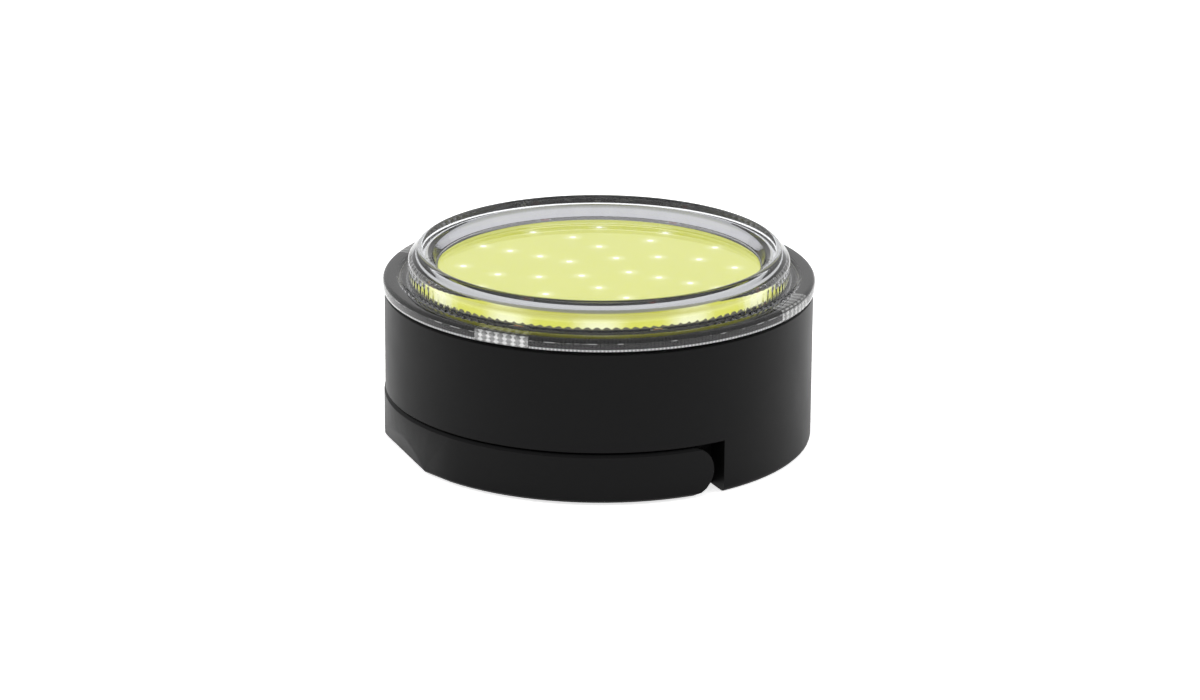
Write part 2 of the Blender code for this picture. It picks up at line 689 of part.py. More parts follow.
def build_carrier():
    """The deck that closes the housing and holds the lamp board."""
    rim = UPPER_CAVITY_RADIUS - SEAT_GAP
    carrier = rod(
        "lamp_carrier",
        CARRIER_DECK_RADIUS,
        CARRIER_RIM_LOW,
        CARRIER_DECK_TOP,
        None,
        GREY_PLASTIC,
        64,
    )
    flange = rod("carrier_flange", rim, CARRIER_RIM_LOW, CARRIER_RIM_TOP, steps=64)
    combine(carrier, flange, "UNION")
    underside = rod(
        "carrier_hollow",
        CARRIER_HOLLOW_RADIUS,
        CARRIER_RIM_LOW - WALL,
        CARRIER_DECK_LOW,
        steps=64,
    )
    combine(carrier, underside, "DIFFERENCE")
    for i, angle in enumerate(SCREW_ANGLES, 1):
        place = Matrix.Translation(on_ring(SCREW_RING_RADIUS, angle))
        through = rod(
            f"carrier_hole_{i}",
            SCREW_SHANK_RADIUS + STUD_CLEARANCE,
            CARRIER_DECK_LOW - WALL,
            CARRIER_DECK_TOP + WALL,
            place,
            steps=12,
        )
        combine(carrier, through, "DIFFERENCE")
        head_seat = rod(
            f"head_seat_{i}",
            SCREW_HEAD_RADIUS + SEAT_GAP,
            COUNTERBORE_FLOOR,
            CARRIER_DECK_TOP + WALL,
            place,
            steps=16,
        )
        combine(carrier, head_seat, "DIFFERENCE")
    for i, (x, y) in enumerate(WIRE_HOLE_PLACES, 1):
        hole = rod(
            f"wire_hole_{i}",
            WIRE_HOLE_RADIUS,
            CARRIER_DECK_LOW - WALL,
            CARRIER_DECK_TOP + WALL,
            Matrix.Translation((x, y, 0)),
            steps=12,
        )
        combine(carrier, hole, "DIFFERENCE")


def build_screws():
    head_low = COUNTERBORE_FLOOR + SEAT_GAP / 2
    for i, angle in enumerate(SCREW_ANGLES, 1):
        place = Matrix.Translation(on_ring(SCREW_RING_RADIUS, angle))
        turned(
            f"carrier_screw_{i}",
            [
                (0.0, head_low + SCREW_HEAD_HEIGHT),
                (SCREW_HEAD_RADIUS, head_low + SCREW_HEAD_HEIGHT),
                (SCREW_HEAD_RADIUS, head_low),
                (SCREW_SHANK_RADIUS, head_low),
                (SCREW_SHANK_RADIUS, head_low - SCREW_LENGTH),
                (0.0, head_low - SCREW_LENGTH),
            ],
            STEEL,
            steps=16,
            place=place,
        )


def build_lamps():
    """The white board, the yellow face on it and the ring of red signal lamps."""
    rod("lamp_board", LAMP_BOARD_RADIUS, LAMP_BOARD_LOW, LAMP_BOARD_TOP, None, WHITE_BOARD, 64)
    rod("phosphor_face", PHOSPHOR_RADIUS, PHOSPHOR_LOW, PHOSPHOR_TOP, None, YELLOW_PHOSPHOR, 64)
    for i in range(RED_LAMP_COUNT):
        angle = RED_LAMP_FIRST_ANGLE + i * 2 * HALF_TURN / RED_LAMP_COUNT
        lamp = block(f"red_lamp_{i + 1}", RED_LAMP_SIZE, (0, 0, RED_LAMP_SIZE[2] / 2), RED_LAMP)
        lamp.location = on_ring(RED_LAMP_RING_RADIUS, angle, LAMP_BOARD_TOP + SEAT_GAP)
        lamp.rotation_euler = (0, 0, angle)


# ---------------------------------------------------------------- cells, tray and contacts


def cell_rows():
    """Each cell's number, its x and whether its plus end points to +Y."""
    first = -(CELL_COUNT - 1) * CELL_PITCH / 2
    return [(i + 1, first + i * CELL_PITCH, 1 if i % 2 == 0 else -1) for i in range(CELL_COUNT)]


def cell_place(x, direction):
    """Turns something made along Z so that it lies along Y at a cell's axis."""
    turn = ALONG_Y if direction > 0 else Matrix.Rotation(HALF_TURN / 2, 4, "X")
    return Matrix.Translation((x, 0, CELL_AXIS_HEIGHT)) @ turn


def build_cells():
    edge = 0.6 * MM
    for number, x, direction in cell_rows():
        shoulder = CELL_PLUS_END - CELL_NUB_LENGTH
        turned(
            f"battery_{number}",
            [
                (0.0, CELL_PLUS_END),
                (CELL_NUB_RADIUS, CELL_PLUS_END),
                (CELL_NUB_RADIUS, shoulder),
                (CELL_RADIUS - edge, shoulder),
                (CELL_RADIUS, shoulder - edge),
                (CELL_RADIUS, CELL_MINUS_END + edge),
                (CELL_RADIUS - edge, CELL_MINUS_END),
                (0.0, CELL_MINUS_END),
            ],
            CELL_WRAP,
            steps=SMALL_STEPS,
            place=cell_place(x, direction),
        )


def spring_points():
    """A cone of turns from the tray's end wall up to the cell's minus end."""
    low = -(TRAY_INNER_LENGTH / 2 - SEAT_GAP - SPRING_WIRE_RADIUS)
    high = CELL_MINUS_END - SEAT_GAP - SPRING_WIRE_RADIUS
    count = SPRING_TURNS * SPRING_POINTS_PER_TURN
    found = []
    for i in range(count + 1):
        share = i / count
        radius = SPRING_WIDE_RADIUS + (SPRING_NARROW_RADIUS - SPRING_WIDE_RADIUS) * share
        angle = share * SPRING_TURNS * 2 * HALF_TURN
        found.append(on_ring(radius, angle, low + (high - low) * share))
    return found


def build_contacts():
    for number, x, direction in cell_rows():
        rod(
            f"plus_contact_{number}",
            CONTACT_RADIUS,
            CONTACT_FACE,
            CONTACT_FACE + CONTACT_THICKNESS,
            cell_place(x, direction),
            NICKEL,
        )
        spring = tube(f"minus_spring_{number}", spring_points(), SPRING_WIRE_RADIUS, STEEL)
        spring.matrix_world = cell_place(x, direction)


def build_tray():
    """A box that opens downward over the cells, with posts for the control board on its roof."""
    low = FLOOR + SEAT_GAP
    outer = (TRAY_INNER_WIDTH + 2 * TRAY_WALL, TRAY_INNER_LENGTH + 2 * TRAY_WALL)
    tray = rounded_block(
        "battery_tray",
        (*outer, TRAY_TOP - low),
        (0, 0, (TRAY_TOP + low) / 2),
        TRAY_CORNER_RADIUS + TRAY_WALL,
        BLACK_PLASTIC,
    )
    hollow = rounded_block(
        "tray_hollow",
        (TRAY_INNER_WIDTH, TRAY_INNER_LENGTH, TRAY_ROOF_LOW + WALL),
        (0, 0, (TRAY_ROOF_LOW - WALL) / 2),
        TRAY_CORNER_RADIUS,
    )
    combine(tray, hollow, "DIFFERENCE")
    for i, (x, y) in enumerate(board_post_places(), 1):
        post = rod(
            f"board_post_{i}",
            BOARD_POST_RADIUS,
            TRAY_TOP - TRAY_WALL / 2,
            CONTROL_BOARD_HEIGHT - SEAT_GAP,
            Matrix.Translation((x, y, 0)),
            steps=16,
        )
        combine(tray, post, "UNION")


def board_post_places():
    inset = 3 * MM
    x = CONTROL_BOARD_SIZE[0] / 2 - inset
    front = CONTROL_BOARD_OFFSET - CONTROL_BOARD_SIZE[1] / 2 + inset
    back = TRAY_INNER_LENGTH / 2 - inset
    return [(-x, front), (x, front), (-x, back), (x, back)]


# ---------------------------------------------------------------- door and magnets


def build_door():
    lip = DOOR_LIP - DOOR_SIDE_GAP
    door = rounded_block(
        "battery_door",
        (
            TRAY_INNER_WIDTH + 2 * lip,
            TRAY_INNER_LENGTH + 2 * lip,
            DOOR_LIP_THICKNESS,
        ),
        (0, 0, DOOR_RECESS + DOOR_LIP_THICKNESS / 2),
        TRAY_CORNER_RADIUS + lip,
        BLACK_PLASTIC,
    )
    plug_low = DOOR_RECESS + DOOR_LIP_THICKNESS / 2
    plug = rounded_block(
        "door_plug",
        (
            TRAY_INNER_WIDTH - 2 * DOOR_SIDE_GAP,
            TRAY_INNER_LENGTH - 2 * DOOR_SIDE_GAP,
            FLOOR - plug_low,
        ),
        (0, 0, (FLOOR + plug_low) / 2),
        TRAY_CORNER_RADIUS - DOOR_SIDE_GAP,
    )
    combine(door, plug, "UNION")


def build_magnets():
    for i, (x, y) in enumerate(magnet_places(), 1):
        rod(
            f"magnet_{i}",
            MAGNET_RADIUS,
            DOOR_RECESS,
            DOOR_RECESS + MAGNET_THICKNESS,
            Matrix.Translation((x, y, 0)),
            NICKEL,
        )


# ---------------------------------------------------------------- electronics and button


def build_control_board():
    top = CONTROL_BOARD_TOP + SEAT_GAP
    block(
        "control_board",
        CONTROL_BOARD_SIZE,
        (0, CONTROL_BOARD_OFFSET, CONTROL_BOARD_HEIGHT + CONTROL_BOARD_SIZE[2] / 2),
        GREEN_BOARD,
    )
    chip_middle = (-7 * MM, 4 * MM, top + CHIP_SIZE[2] / 2)
    block("driver_chip", CHIP_SIZE, chip_middle, BLACK_PLASTIC)
    coil_place = Matrix.Translation((7 * MM, 5 * MM, 0))
    rod("power_coil", COIL_RADIUS, top, top + COIL_HEIGHT, coil_place, GREY_PLASTIC)
    switch = block(
        "button_switch",
        SWITCH_SIZE,
        (0, SWITCH_FACE - SWITCH_SIZE[1] / 2, SWITCH_LOW + SWITCH_SIZE[2] / 2),
        BLACK_PLASTIC,
    )
    actuator = rod(
        "switch_actuator",
        SWITCH_ACTUATOR_RADIUS,
        SWITCH_FACE - SWITCH_SIZE[1] / 2,
        ACTUATOR_TIP,
        Matrix.Translation((0, 0, BUTTON_HEIGHT)) @ ALONG_Y,
        steps=16,
    )
    combine(switch, actuator, "UNION")


def build_button():
    """A cap in the housing's wall with a flange behind it and a stem that reaches the switch."""
    flange_back = BUTTON_FLANGE_FACE - BUTTON_FLANGE_THICKNESS
    dome = 0.5 * MM
    turned(
        "power_button",
        [
            (0.0, BUTTON_FACE),
            (BUTTON_RADIUS - dome, BUTTON_FACE),
            (BUTTON_RADIUS, BUTTON_FACE - dome),
            (BUTTON_RADIUS, BUTTON_FLANGE_FACE),
            (BUTTON_FLANGE_RADIUS, BUTTON_FLANGE_FACE),
            (BUTTON_FLANGE_RADIUS, flange_back),
            (BUTTON_STEM_RADIUS, flange_back),
            (BUTTON_STEM_RADIUS, STEM_TIP),
            (0.0, STEM_TIP),
        ],
        BLACK_RUBBER,
        steps=32,
        place=Matrix.Translation((0, 0, BUTTON_HEIGHT)) @ ALONG_Y,
    )


def smooth_route(points, steps):
    """A smooth curve read at even steps through a wire's own points."""
    found = []
    last = len(points) - 1
    for i in range(last):
        before, start = points[max(i - 1, 0)], points[i]
        end, after = points[i + 1], points[min(i + 2, last)]
        for step in range(steps):
            t = step / steps
            found.append(
                tuple(
                    0.5
                    * (
                        2 * b
                        + (c - a) * t
                        + (2 * a - 5 * b + 4 * c - d) * t**2
                        + (3 * b - a - 3 * c + d) * t**3
                    )
                    for a, b, c, d in zip(before, start, end, after)
                )
            )
    return found + [points[-1]]


def build_wires():
    """Two leads from the control board to the lamp board, and two up from the battery tray."""
    clear = WIRE_RADIUS + SEAT_GAP
    for word, (x, y), material in zip(
        ("plus", "minus"), WIRE_HOLE_PLACES, (RED_WIRE, BLACK_WIRE)
    ):
        route = [
            (x, y + 6 * MM, CONTROL_BOARD_TOP + SEAT_GAP),
            (x, y + 5 * MM, CONTROL_BOARD_TOP + 3 * MM),
            (x, y + 1 * MM, (CONTROL_BOARD_TOP + CARRIER_DECK_LOW) / 2),
            (x, y, CARRIER_DECK_LOW),
            (x, y, CARRIER_DECK_TOP),
        ]
        tube(f"lamp_wire_{word}", smooth_route(route, 4), WIRE_RADIUS, material)
    board_front = CONTROL_BOARD_OFFSET - CONTROL_BOARD_SIZE[1] / 2
    for word, side, material in (("plus", 1, RED_WIRE), ("minus", -1, BLACK_WIRE)):
        x = side * CELL_PITCH
        route = [
            (x, -TRAY_INNER_LENGTH / 2 + 2 * MM, TRAY_TOP + SEAT_GAP),
            (x, -TRAY_INNER_LENGTH / 2 + 3 * MM, TRAY_TOP + 3 * MM),
            (x, board_front - 3 * MM, CONTROL_BOARD_TOP + 2.5 * MM),
            (x, board_front + 2 * MM, CONTROL_BOARD_TOP + 2.5 * MM),
            (x, board_front + 4 * MM, CONTROL_BOARD_TOP + clear),
        ]
        tube(f"battery_wire_{word}", smooth_route(route, 4), WIRE_RADIUS, material)


build_housing()
build_bail()
build_cover()
build_seal()
build_carrier()
build_screws()
build_lamps()
build_cells()
build_contacts()
build_tray()
build_door()
build_magnets()
build_control_board()
build_button()
build_wires()
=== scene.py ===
"""The look of a battery road flare: matte black housing and bail, a clear fluted cover, a glowing
yellow face, red signal lamps, and everything that shows once the battery door is off."""

import math

import bmesh
import bpy
from mathutils import Matrix, Vector


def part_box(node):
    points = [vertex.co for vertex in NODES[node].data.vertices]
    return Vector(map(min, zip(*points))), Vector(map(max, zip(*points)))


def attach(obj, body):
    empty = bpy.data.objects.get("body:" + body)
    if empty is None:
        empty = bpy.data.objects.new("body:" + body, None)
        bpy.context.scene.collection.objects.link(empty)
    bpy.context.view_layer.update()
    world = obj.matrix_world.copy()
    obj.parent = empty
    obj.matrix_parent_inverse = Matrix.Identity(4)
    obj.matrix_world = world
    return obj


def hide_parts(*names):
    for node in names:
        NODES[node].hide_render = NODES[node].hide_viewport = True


MM = 0.001
TURN = 2 * math.pi
WELD = 0.001 * MM

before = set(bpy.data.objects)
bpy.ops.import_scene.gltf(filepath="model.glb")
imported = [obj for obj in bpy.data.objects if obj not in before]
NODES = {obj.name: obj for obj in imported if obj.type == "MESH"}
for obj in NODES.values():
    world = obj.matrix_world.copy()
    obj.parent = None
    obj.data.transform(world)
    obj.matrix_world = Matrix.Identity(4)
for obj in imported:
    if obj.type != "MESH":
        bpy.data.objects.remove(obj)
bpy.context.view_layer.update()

BODY_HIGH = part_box("housing")[1]
COVER_LOW, COVER_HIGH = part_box("clear_cover")
FACE_LOW, FACE_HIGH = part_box("phosphor_face")
BOARD_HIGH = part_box("lamp_board")[1]
BODY_RADIUS = BODY_HIGH[0]
COVER_RADIUS = COVER_HIGH[0]

# Rings of bright chips under the phosphor: how many, on what radius, from what angle
CHIP_RINGS = (
    (4, 6.4 * MM, 125.0),
    (6, 12.8 * MM, 95.0),
    (8, 19.4 * MM, 80.0),
    (12, 25.3 * MM, 65.0),
)
BAND_LOW = COVER_LOW[2] + 1.85 * MM
# The collar is a thin ring in the crown that carries painted glow
COLLAR_LOW = BOARD_HIGH[2] + 1.2 * MM
COLLAR_HIGH = COVER_HIGH[2] - 2.0 * MM
COLLAR_MIDDLE = FACE_HIGH[0] + 1.75 * MM
CATCHES = (39.0, 129.0, 219.0, 309.0)
CATCH_WIDTH = 16.0
RED_LAMPS = 8
RED_LAMP_ANGLE = 39.0
FLUTES = 120


# ---------------------------------------------------------------- camera, light and floor


def add_camera():
    """Looks at the flare from a little above, off to the side where the bail ends."""
    azimuth, elevation = math.radians(65.0), math.radians(18.5)
    distance = 20 * BODY_RADIUS
    back = Vector(
        (
            math.sin(azimuth) * math.cos(elevation),
            -math.cos(azimuth) * math.cos(elevation),
            math.sin(elevation),
        )
    )
    right = Vector((math.cos(azimuth), math.sin(azimuth), 0))
    aim = Vector((0, 0, 0.403 * BODY_RADIUS)) + right * 0.0065 * BODY_RADIUS
    data = bpy.data.cameras.new("camera")
    data.lens = 128.0
    data.sensor_width = 36.0
    data.clip_start = 0.05
    data.clip_end = 20
    camera = bpy.data.objects.new("camera", data)
    bpy.context.scene.collection.objects.link(camera)
    camera.location = aim + back * distance
    look = (-back).to_track_quat("-Z", "Y")
    tilt = Matrix.Rotation(math.radians(0.33), 3, "Z").to_quaternion()
    camera.rotation_mode = "QUATERNION"
    camera.rotation_quaternion = look @ tilt
    bpy.context.scene.camera = camera


def add_lamp(name, place, size, power):
    data = bpy.data.lights.new(name, "AREA")
    data.shape = "RECTANGLE"
    data.size, data.size_y = size
    data.energy = power
    lamp = bpy.data.objects.new(name, data)
    lamp.location = place
    lamp.visible_camera = False
    lamp.visible_glossy = False
    lamp.visible_transmission = False
    lamp.rotation_mode = "QUATERNION"
    lamp.rotation_quaternion = (Vector((0, 0, 0.015)) - Vector(place)).to_track_quat("-Z", "Y")
    bpy.context.scene.collection.objects.link(lamp)


class Socket:
    """One value inside a material, so that shader maths reads as plain maths."""

    def __init__(self, finish, output):
        self.finish = finish
        self.output = output

    def maths(self, operation, *values):
        return self.finish.node("ShaderNodeMath", {"operation": operation}, dict(enumerate(values)))

    def __add__(self, other):
        return self.maths("ADD", self, other)

    __radd__ = __add__

    def __sub__(self, other):
        return self.maths("SUBTRACT", self, other)

    def __rsub__(self, other):
        return self.maths("SUBTRACT", other, self)

    def __mul__(self, other):
        return self.maths("MULTIPLY", self, other)

    __rmul__ = __mul__

    def __truediv__(self, other):
        return self.maths("DIVIDE", self, other)

    def __rtruediv__(self, other):
        return self.maths("DIVIDE", other, self)

    def __pow__(self, other):
        return self.maths("POWER", self, other)

    def __mod__(self, other):
        return self.maths("FLOORED_MODULO", self, other)

    def __gt__(self, other):
        return self.maths("GREATER_THAN", self, other)

    def __lt__(self, other):
        return self.maths("LESS_THAN", self, other)

    def __abs__(self):
        return self.maths("ABSOLUTE", self)


class Finish:
    """A material and the nodes that make its colour, gloss and grain."""

    def __init__(self, name, colour, roughness, **uniform):
        self.material = bpy.data.materials.new(name)
        self.material.use_nodes = True
        self.tree = self.material.node_tree
        self.shader = self.tree.nodes["Principled BSDF"]
        self.shader.inputs["Base Color"].default_value = (*colour, 1.0)
        self.shader.inputs["Roughness"].default_value = roughness
        for socket, value in uniform.items():
            self.shader.inputs[socket.replace("_", " ")].default_value = value
        self.place = self.node("ShaderNodeTexCoord", {}, {}, "Object")

    def node(self, kind, settings, values, output=0):
        made = self.tree.nodes.new(kind)
        for name, value in settings.items():
            if name == "stops":
                self.set_stops(made.color_ramp, value)
            else:
                setattr(made, name, value)
        for name, value in values.items():
            if isinstance(value, Socket):
                self.tree.links.new(value.output, made.inputs[name])
            else:
                made.inputs[name].default_value = value
        return Socket(self, made.outputs[output])

    @staticmethod
    def set_stops(ramp, stops):
        while len(ramp.elements) > 1:
            ramp.elements.remove(ramp.elements[-1])
        for i, (position, colour) in enumerate(stops):
            element = ramp.elements[0] if i == 0 else ramp.elements.new(position)
            element.position = position
            element.color = (*colour, 1.0)

    def feed(self, socket, value):
        self.tree.links.new(value.output, self.shader.inputs[socket])

    def axes(self):
        made = self.tree.nodes.new("ShaderNodeSeparateXYZ")
        self.tree.links.new(self.place.output, made.inputs[0])
        return [Socket(self, output) for output in made.outputs]

    def noise(self, scale, detail=3.0, place=None, **more):
        values = {"Vector": place or self.place, "Scale": scale, "Detail": detail, **more}
        return self.node("ShaderNodeTexNoise", {"noise_dimensions": "3D"}, values, 0)

    def scratches(self, scale, stretch):
        place = self.node("ShaderNodeMapping", {}, {"Vector": self.place, "Scale": stretch})
        return self.noise(scale, 4.0, place)

    def band(self, value, low, high, start=0.0, end=1.0):
        settings = {"interpolation_type": "SMOOTHSTEP"}
        values = {"Value": value, 1: low, 2: high, 3: start, 4: end}
        return self.node("ShaderNodeMapRange", settings, values)

    def mix(self, share, first, second):
        values = {0: share}
        values[6] = first if isinstance(first, Socket) else (*first, 1.0)
        values[7] = second if isinstance(second, Socket) else (*second, 1.0)
        return self.node("ShaderNodeMix", {"data_type": "RGBA"}, values, 2)

    def bump(self, height, strength, depth, under=None):
        values = {"Height": height, "Strength": strength, "Distance": depth}
        if under is not None:
            values["Normal"] = under
        return self.node("ShaderNodeBump", {}, values)


def light_the_scene():
    scene = bpy.context.scene
    scene.view_settings.view_transform = "Standard"
    world = bpy.data.worlds.new("studio")
    scene.world = world
    world.use_nodes = True
    tree = world.node_tree
    background = tree.nodes["Background"]
    rays = tree.nodes.new("ShaderNodeLightPath")
    seen = tree.nodes.new("ShaderNodeMath")
    seen.operation = "MAXIMUM"
    tree.links.new(rays.outputs["Is Camera Ray"], seen.inputs[0])
    tree.links.new(rays.outputs["Is Transmission Ray"], seen.inputs[1])
    mirrored = tree.nodes.new("ShaderNodeMath")
    mirrored.operation = "MULTIPLY"
    mirrored.inputs[1].default_value = 0.56
    tree.links.new(rays.outputs["Is Glossy Ray"], mirrored.inputs[0])
    shown = tree.nodes.new("ShaderNodeMath")
    shown.operation = "MAXIMUM"
    tree.links.new(seen.outputs[0], shown.inputs[0])
    tree.links.new(mirrored.outputs[0], shown.inputs[1])
    strength = tree.nodes.new("ShaderNodeMapRange")
    tree.links.new(shown.outputs[0], strength.inputs["Value"])
    strength.inputs["To Min"].default_value = 0.45
    strength.inputs["To Max"].default_value = 1.0
    tree.links.new(strength.outputs[0], background.inputs["Strength"])
    background.inputs["Color"].default_value = (1, 1, 1, 1)
    add_lamp("left_softbox", (-0.35, -0.75, 0.35), (0.5, 0.8), 4.0)
    add_lamp("right_softbox", (0.45, 0.85, 0.35), (0.5, 0.8), 4.0)
    add_lamp("top_softbox", (0.0, 0.0, 0.9), (0.9, 0.9), 5.0)


def add_floor():
    shape = bmesh.new()
    bmesh.ops.create_grid(shape, x_segments=1, y_segments=1, size=4.0)
    mesh = bpy.data.meshes.new("floor")
    shape.to_mesh(mesh)
    shape.free()
    mesh.transform(Matrix.Translation((0, 0, -0.05 * MM)))
    floor = bpy.data.objects.new("floor", mesh)
    bpy.context.scene.collection.objects.link(floor)
    finish = Finish("floor_white", (0.9, 0.9, 0.9), 1.0, Specular_IOR_Level=0.0)
    rays = finish.tree.nodes.new("ShaderNodeLightPath")
    camera = Socket(finish, rays.outputs["Is Camera Ray"])
    glossy = Socket(finish, rays.outputs["Is Glossy Ray"])
    through = Socket(finish, rays.outputs["Is Transmission Ray"])
    dimmed = glossy * 0.6
    seen = finish.node("ShaderNodeMath", {"operation": "MAXIMUM"}, {0: camera, 1: dimmed})
    seen = finish.node("ShaderNodeMath", {"operation": "MAXIMUM"}, {0: seen, 1: through})
    glow = finish.mix(seen, (0.2, 0.2, 0.2), (0.72, 0.72, 0.72))
    side = finish.tree.nodes.new("ShaderNodeNewGeometry")
    clear = finish.tree.nodes.new("ShaderNodeBsdfTransparent")
    blend = finish.tree.nodes.new("ShaderNodeMixShader")
    finish.tree.links.new(side.outputs["Backfacing"], blend.inputs[0])
    finish.tree.links.new(finish.shader.outputs[0], blend.inputs[1])
    finish.tree.links.new(clear.outputs[0], blend.inputs[2])
    output = finish.tree.nodes["Material Output"]
    finish.tree.links.new(blend.outputs[0], output.inputs["Surface"])
    finish.feed("Emission Color", glow)
    finish.shader.inputs["Emission Strength"].default_value = 1.0
    mesh.materials.append(finish.material)


# ---------------------------------------------------------------- shaping


def place_mesh(name, shape, material, body, replaced, sharp=35.0):
    """Turns a finished bmesh into a piece that rides on a body and stands for CAD nodes."""
    mesh = bpy.data.meshes.new(name)
    shape.to_mesh(mesh)
    shape.free()
    mesh.shade_smooth()
    mesh.set_sharp_from_angle(angle=math.radians(sharp))
    mesh.materials.append(material)
    piece = bpy.data.objects.new(name, mesh)
    bpy.context.scene.collection.objects.link(piece)
    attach(piece, body)
    if replaced:
        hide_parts(*replaced)
    return piece


def spin_profile(points, steps, closed=True):
    """A closed outline of (radius, height) points spun about Z into a solid."""
    shape = bmesh.new()
    corners = [shape.verts.new((r, 0, z)) for r, z in points]
    edges = [shape.edges.new(pair) for pair in zip(corners, corners[1:])]
    if closed:
        edges.append(shape.edges.new((corners[-1], corners[0])))
    bmesh.ops.spin(
        shape,
        geom=corners + edges,
        cent=(0, 0, 0),
        axis=(0, 0, 1),
        angle=TURN,
        steps=steps,
        use_merge=True,
    )
    bmesh.ops.remove_doubles(shape, verts=shape.verts, dist=WELD)
    bmesh.ops.recalc_face_normals(shape, faces=shape.faces)
    return shape


def cad_copy(node):
    """A bmesh of a CAD node's own surface with its loose triangles merged."""
    shape = bmesh.new()
    shape.from_mesh(NODES[node].data)
    bmesh.ops.remove_doubles(shape, verts=shape.verts, dist=WELD)
    bmesh.ops.dissolve_limit(
        shape,
        angle_limit=math.radians(0.5),
        verts=shape.verts,
        edges=shape.edges,
    )
    return shape


def soften(piece, width, angle=35.0, segments=2):
    """Rounds the sharp edges of a piece a little, as a mould does."""
    bevel = piece.modifiers.new("soft_edges", "BEVEL")
    bevel.width = width
    bevel.segments = segments
    bevel.limit_method = "ANGLE"
    bevel.angle_limit = math.radians(angle)
    even = piece.modifiers.new("even_flats", "WEIGHTED_NORMAL")
    even.mode = "FACE_AREA"
    even.weight = 100
    even.keep_sharp = True
    return piece


def rounding(centre, radius, start, end, points):
    """Points along a rounded corner of a profile, angles in degrees."""
    found = []
    for i in range(points):
        angle = math.radians(start + (end - start) * i / (points - 1))
        found.append(
            (centre[0] + radius * math.cos(angle), centre[1] + radius * math.sin(angle))
        )
    return found


def dress(node, material, width=0.0, body="lamp", name=None, angle=35.0):
    """A smoothed copy of a CAD node with its own finish."""
    piece = place_mesh(name or f"{node}_finished", cad_copy(node), material, body, [node])
    if width:
        soften(piece, width, angle)
    return piece


def build_bail(material):
    """The bail, with its thumb cut drawn in on one side to the short run that it has there."""
    shape = cad_copy("bail")
    low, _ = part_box("bail")
    reach = -low[1]
    for vert in shape.verts:
        x, y, z = vert.co
        out = math.hypot(x, y)
        on_cut = low[2] - 0.1 * MM < z < low[2] + 5.0 * MM and y < -reach + 3.2 * MM
        at_foot = z < low[2] + 0.55 * MM and abs(x) > 14.5 * MM
        if on_cut and x > 0 and not at_foot and out > reach - 3.5 * MM:
            swing = math.atan2(x, -y) * 0.66
            vert.co.x, vert.co.y = out * math.sin(swing), -out * math.cos(swing)
    piece = place_mesh("bail_finished", shape, material, "bail", ["bail"])
    soften(piece, 0.15 * MM)


def step_face(shape, outward, border, depth):
    """Insets the largest flat face that looks one way, and moves what is left in or out."""
    looking = [face for face in shape.faces if face.normal.dot(outward) > 0.99]
    face = max(looking, key=lambda found: found.calc_area())
    bmesh.ops.inset_region(shape, faces=[face], thickness=border, use_even_offset=True)
    bmesh.ops.inset_region(shape, faces=[face], thickness=0.25 * MM, use_even_offset=True)
    bmesh.ops.translate(shape, vec=outward * depth, verts=face.verts)


def build_button(material):
    """The button, with a groove inside its rim and a shallow thumb rest."""
    shape = cad_copy("power_button")
    out = Vector((0, 1, 0))
    step_face(shape, out, 0.7 * MM, -0.3 * MM)
    step_face(shape, out, 0.25 * MM, 0.2 * MM)
    step_face(shape, out, 0.7 * MM, -0.12 * MM)
    piece = place_mesh(
        "button_cap", shape, material, "button", ["power_button"]
    )
    soften(piece, 0.1 * MM)


def build_door(material):
    """The battery door, with its middle sunk a little below its border."""
    shape = cad_copy("battery_door")
    step_face(shape, Vector((0, 0, -1)), 2.2 * MM, -0.25 * MM)
    piece = place_mesh(
        "door_panel", shape, material, "door", ["battery_door"]
    )
    soften(piece, 0.12 * MM)


# ---------------------------------------------------------------- finishes


def matte_black():
    finish = Finish(
        "matte_black_plastic", (0.004, 0.004, 0.0042), 0.42, Specular_IOR_Level=0.1
    )
    grain = finish.noise(5200.0, 2.0)
    pores = finish.noise(1900.0, 3.0)
    cloud = finish.noise(60.0, 4.0)
    shade = finish.mix(cloud, (0.0032, 0.0032, 0.0034), (0.0048, 0.0048, 0.005))
    finish.feed("Base Color", shade)
    finish.feed("Roughness", finish.band(cloud, 0.3, 0.7, 0.39, 0.46))
    fine = finish.bump(grain, 0.28, 0.02 * MM)
    finish.feed("Normal", finish.bump(pores, 0.16, 0.03 * MM, fine))
    return finish.material


def inner_black():
    finish = Finish("inner_black_plastic", (0.012, 0.012, 0.012), 0.4, Specular_IOR_Level=0.3)
    cloud = finish.noise(300.0, 3.0)
    finish.feed("Base Color", finish.mix(cloud, (0.01, 0.01, 0.01), (0.016, 0.016, 0.017)))
    finish.feed("Normal", finish.bump(cloud, 0.1, 0.03 * MM))
    return finish.material


def button_rubber():
    finish = Finish("button_rubber", (0.02, 0.02, 0.021), 0.75, Specular_IOR_Level=0.25)
    cloud = finish.noise(900.0, 4.0)
    finish.feed("Base Color", finish.mix(cloud, (0.014, 0.014, 0.015), (0.026, 0.026, 0.027)))
    finish.feed("Normal", finish.bump(cloud, 0.25, 0.05 * MM))
    return finish.material


